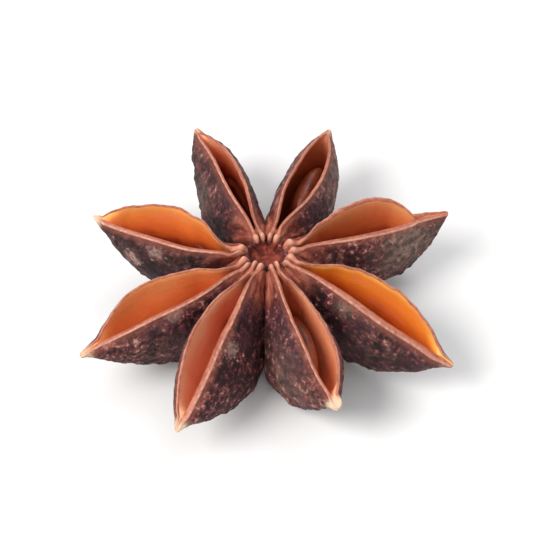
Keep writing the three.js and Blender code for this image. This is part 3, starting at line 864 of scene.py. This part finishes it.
def rindMaterial(mottle):
    s = rindSettings
    paint, mix, surface = s["colours"], s["mix"], s["surface"]
    material, tree, shader = startMaterial("rind")
    place = objectMillimetres(tree)
    x, y, z = separate(tree, place)
    along, lining, sink, lip, tone, crease, across, seed, tipPale, shade, bead, gloom, dusk = (
        attribute(tree, label) for label in
        ("along", "lining", "sink", "lip", "tone", "crease", "across", "seed", "tipPale",
         "shade", "bead", "gloom", "dusk"))

    def noiseOf(vector, label):
        return grain(tree, vector, *s["noises"][label])

    def within(value, label):
        return value.ease(*s["zones"][label])

    def scale(amount, label):
        return ramp(tree, amount, [(stop, paint[name]) for stop, name in s["scales"][label]])

    patches, specks, relief = useGroup(tree, mottle, place, surface)
    streaks, fibres = (
        noiseOf(combine(tree, along * ahead, across * aside + seed, sink * down), label)
        for label, (ahead, aside, down) in s["paces"].items())
    radius = (x * x + y * y).math("SQRT").atLeast(surface["leastRadius"])
    rays = noiseOf(combine(tree, x / radius * surface["rayCount"], y / radius * surface["rayCount"],
                           radius * surface["rayStretch"]), "rays")
    blots = noiseOf(place, "blots")

    # outside
    tint = ((specks - 0.5) * mix["tintSpecks"] + (patches - 0.5) * mix["tintPatches"]
            + (blots - 0.5) * mix["tintBlots"] + (streaks - 0.5) * mix["tintStreaks"]
            # painted shade: darker in the creases of the skin
            - crease * mix["creaseShade"] + 0.5 + shade)
    hubZone = ((1 - within(radius, "hub")) * within(z, "hubHeight")
               * within(radius, "hubMiddle"))
    # darker in the grooves and paler on the ridges round the centre, following the relief: painted
    # shade and painted highlight
    hubTint = scale(rays, "hub")
    earthy = within(noiseOf(place, "earth"), "earth") * within(blots, "earthBlots")
    spread = specks * mix["spreadSpecks"] + blots * (1 - mix["spreadSpecks"])
    flaked = mix["flaked"] + (relief - 0.5) * mix["flakedRelief"]
    skin = layered(
        tree, scale(tint, "skin"),
        (earthy * mix["earth"], paint["earth"]),
        (within(noiseOf(place, "plum"), "plum") * mix["plum"], paint["plum"]),
        (worn(tree, place, spread, "weathered"),
         blend(tree, within(blots, "grey"), paint["weatheredDark"], paint["weathered"])),
        (worn(tree, place, spread, "rubbed") * flaked, paint["scuff"]),
        (hubZone * mix["hub"], hubTint),
        (within(lip, "rust") * (mix["rust"] + patches * mix["rustPatches"]), paint["rust"]))

    # lining, from the edges down, with long streaks of the dried fibres; its colour is painted
    # light near the edges and painted shade that deepens down into the hollow
    depth = gloom + (patches - 0.5) * mix["depthPatches"] + (fibres - 0.5) * mix["depthFibres"]
    lit = layered(
        tree, scale(depth, "lining"),
        # paler pink on the less shaded upper lining, less of it at higher tone: partly the carpel's
        # own colour, partly painted light
        ((1 - tone) * mix["red"] * (1 - within(depth, "redOver")), paint["liningRed"]),
        # painted light: a pale glow along the top of the lining
        ((1 - tone) * mix["edge"] * (1 - within(depth, "edgeLightOver")), paint["liningEdgeLight"]),
        ((1 - within(radius, "hubLining")) * mix["hubLining"], hubTint),
        (within(fibres, "paleFibres") * mix["paleFibres"], paint["liningRed"]),
        ((1 - within(fibres, "darkFibres")) * mix["darkFibres"], paint["liningShadeAndDarkFibres"]),
        # painted shade over a whole lining, set per carpel by dusk
        (dusk, paint["liningShadeAndDarkFibres"]))

    # split edges and the bumps round the centre
    onBand = within(lining, "bandOuter") * (1 - within(lining, "bandInner"))
    onBand = onBand * within(radius, "band")
    bandTint = fibres * mix["bandFibres"] + specks * mix["bandSpots"] + blots * mix["bandSpots"]
    pale = within(lip, "pale") * (1 - within(lining, "paleOver"))
    pale = pale * (mix["pale"] + (specks - 0.5) * mix["paleSpecks"]
                   + (blots - 0.5) * mix["paleBlots"])
    # the crests of the ridges by the centre: the split edges' pale colour with a painted highlight
    # along them
    onRidge = within(lining, "ridgeOuter") * (1 - within(lining, "ridgeInner"))
    ridgePaleAndHighlight = onRidge * (mix["pale"] + (rays - 0.5) * mix["paleRays"])
    pale = (1 - within(radius, "ridges")).pick(ridgePaleAndHighlight, pale)
    # pale tops of the bumps round the centre: their own pale colour and a painted highlight
    beadPaleAndHighlight = bead.atMost(1.0) * (mix["bead"] + specks * mix["beadSpecks"]
                                 + blots * mix["beadBlots"])

    # tips, dimple and the end of the stalk
    onTip = tipPale * (within(patches, "tipPatches") + (specks - 0.5) * mix["tipSpecks"]
                       + mix["tip"])
    # the dark of the dimple sits a little back, so its front rim keeps a paler colour: painted
    # highlight
    behind = y - surface["dimpleBackForRimHighlight"]
    oval = (x * x + behind * behind * surface["dimpleOval"]).math("SQRT")
    oval = oval + (specks - 0.5) * surface["dimpleRagged"]
    inDimple = ((1 - within(oval, "dimple")) * within(z, "dimpleFloor")
                * (1 - within(z, "dimpleTop")))
    # darker towards the dimple's wall: painted shade
    floorTint = (specks * mix["dimpleSpecks"] + patches * mix["dimplePatches"]
                 + blots * mix["dimpleBlots"] - within(oval, "dimpleShade") * mix["dimpleRimShade"])

    colour = layered(
        tree, skin, (within(lining, "lining"), lit),
        (onBand * mix["band"],
         blend(tree, within(bandTint, "bandTint"), paint["bandDark"], paint["band"])),
        (pale.atLeast(0.0).atMost(mix["mostPale"]),
         layered(tree, paint["hubLip"], (within(radius, "lipColour"), paint["lip"]),
                 (within(blots, "lipBlots") * mix["lipBlots"], paint["nearHub"]))),
        (beadPaleAndHighlight, paint["bead"]),
        (onTip.atLeast(0.0).atMost(1.0), paint["tip"]),
        (inDimple, scale(floorTint, "dimple")),
        ((1 - within(radius, "scar")) * (1 - within(z, "scarTop")),
         blend(tree, within(specks, "scarSpecks"), paint["scarDark"], paint["scar"])))
    tree.links.new(colour, shader.inputs["Base Color"])

    rough = lining.pick(surface["liningRough"] + (streaks - 0.5) * surface["liningRoughSpread"],
                        surface["skinRough"] + (specks - 0.5) * surface["skinRoughSpread"])
    plug(tree, rough, shader.inputs["Roughness"])
    shine = lining.pick(surface["liningShine"], surface["skinShine"])
    plug(tree, shine, shader.inputs["Specular IOR Level"])
    liningRelief = streaks * surface["streakHeight"] + relief * surface["liningGrain"]
    addBump(tree, shader, lining.pick(liningRelief, relief) + rays * hubZone, surface["bump"],
            surface["bumpHeight"])
    return material


seedLooks = {
    "patchScale": 0.5, "speckScale": 2.0, "grainScale": 6.0, "tintPatches": 0.6,
    "stops": [(0.3, srgb(76, 28, 15)), (0.5, srgb(120, 54, 32)), (0.7, srgb(156, 84, 54))],
    "rim": srgb(70, 24, 12), "rimMix": 0.35, "hilum": srgb(206, 160, 120),
    "hilumFrom": (0.1, 0.6), "rough": 0.34, "roughSpread": 0.16, "bump": 0.25,
    "bumpHeight": 0.0001,
}


def seedMaterial(mottle):
    s = seedLooks
    material, tree, shader = startMaterial("seedCoat")
    patches, specks, relief = useGroup(tree, mottle, objectMillimetres(tree), s)
    tint = patches * s["tintPatches"] + specks * (1 - s["tintPatches"])
    colour = layered(tree, ramp(tree, tint, s["stops"]),
                     (attribute(tree, "rimmed") * s["rimMix"], s["rim"]),
                     (attribute(tree, "hilum").ease(*s["hilumFrom"]), s["hilum"]))
    tree.links.new(colour, shader.inputs["Base Color"])
    rough = s["rough"] + (specks - 0.5) * s["roughSpread"]
    plug(tree, rough, shader.inputs["Roughness"])
    addBump(tree, shader, relief, s["bump"], s["bumpHeight"])
    return material


mottle = mottleGroup()
rind = rindMaterial(mottle)
seedCoat = seedMaterial(mottle)
print("materials made")

columnObject = addObject("columnSource", columnMesh())
pod = bake("podRind", podTree(rind), {"Column": columnObject})
bpy.data.objects.remove(columnObject)
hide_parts("pod")
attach(pod, "root")
print("pod:", len(pod.data.polygons), "faces")

seeds = seedTree(seedCoat)
for name, row in seedSettings["rows"].items():
    piece = bake(name + "_coat", seeds, labelled({**seedSettings["usual"], **row}))
    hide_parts(name)
    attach(piece, "root")
print("seeds made")


stageSettings = {
    "tableReach": 1.5,
    "tableNoise": (0.02, 2.0),
    "tableColours": [(0.3, (0.86, 0.86, 0.865, 1)), (0.7, (0.88, 0.88, 0.88, 1))],
    "tableRough": 0.9,
    "worldStrength": 0.75,
    "lights": [  # metres and watts
        {"name": "keyLight", "spot": (-0.28, -0.12, 0.36), "size": 0.26, "power": 1.7,
         "colour": (1.0, 0.98, 0.95)},
        {"name": "fillLight", "spot": (0.2, 0.25, 0.4), "size": 0.3, "power": 0.5,
         "colour": (1.0, 1.0, 1.0)},
    ],
    "cameraElevation": 55.0,  # degrees over the table
    "cameraDistance": 0.34,
    "lens": 250.0,
    "clip": (0.01, 10),
    "aim": (0.0, 0.0012, 0.0055),
}


def tableMaterial():
    s = stageSettings
    material, tree, shader = startMaterial("paleFloor")
    soft = grain(tree, objectMillimetres(tree), *s["tableNoise"])
    tree.links.new(ramp(tree, soft, s["tableColours"]), shader.inputs["Base Color"])
    shader.inputs["Roughness"].default_value = s["tableRough"]
    return material


def turnTo(thing, away):  # its back towards away
    thing.rotation_mode = "QUATERNION"
    thing.rotation_quaternion = (-away).to_track_quat("-Z", "Y")


def addLight(row):  # a round lamp that shines on the origin
    light = bpy.data.lights.new(row["name"], "AREA")
    light.shape = "DISK"
    light.size = row["size"]
    light.energy = row["power"]
    light.color = row["colour"]
    lamp = addObject(row["name"], light)
    lamp.location = row["spot"]
    turnTo(lamp, Vector(row["spot"]))


def addStage():
    s = stageSettings
    mesh = bpy.data.meshes.new("tableTop")
    reach = s["tableReach"]
    mesh.from_pydata([(-reach, -reach, 0), (reach, -reach, 0), (reach, reach, 0),
                      (-reach, reach, 0)], [], [(0, 1, 2, 3)])
    mesh.materials.append(tableMaterial())
    table = addObject("tableTop", mesh)

    world = bpy.data.worlds.new("studio")
    world.use_nodes = True
    sky = world.node_tree.nodes["Background"]
    sky.inputs["Color"].default_value = (1.0, 1.0, 1.0, 1.0)
    sky.inputs["Strength"].default_value = s["worldStrength"]
    bpy.context.scene.world = world
    for row in s["lights"]:
        addLight(row)

    camera = bpy.data.cameras.new("camera")
    camera.lens = s["lens"]
    camera.clip_start, camera.clip_end = s["clip"]
    view = addObject("camera", camera)
    rise = math.radians(s["cameraElevation"])
    back = Vector((0, -math.cos(rise), math.sin(rise)))
    view.location = Vector(s["aim"]) + back * s["cameraDistance"]
    turnTo(view, back)
    bpy.context.scene.camera = view
    bpy.context.scene.view_settings.view_transform = "Standard"


addStage()
print("stage set")
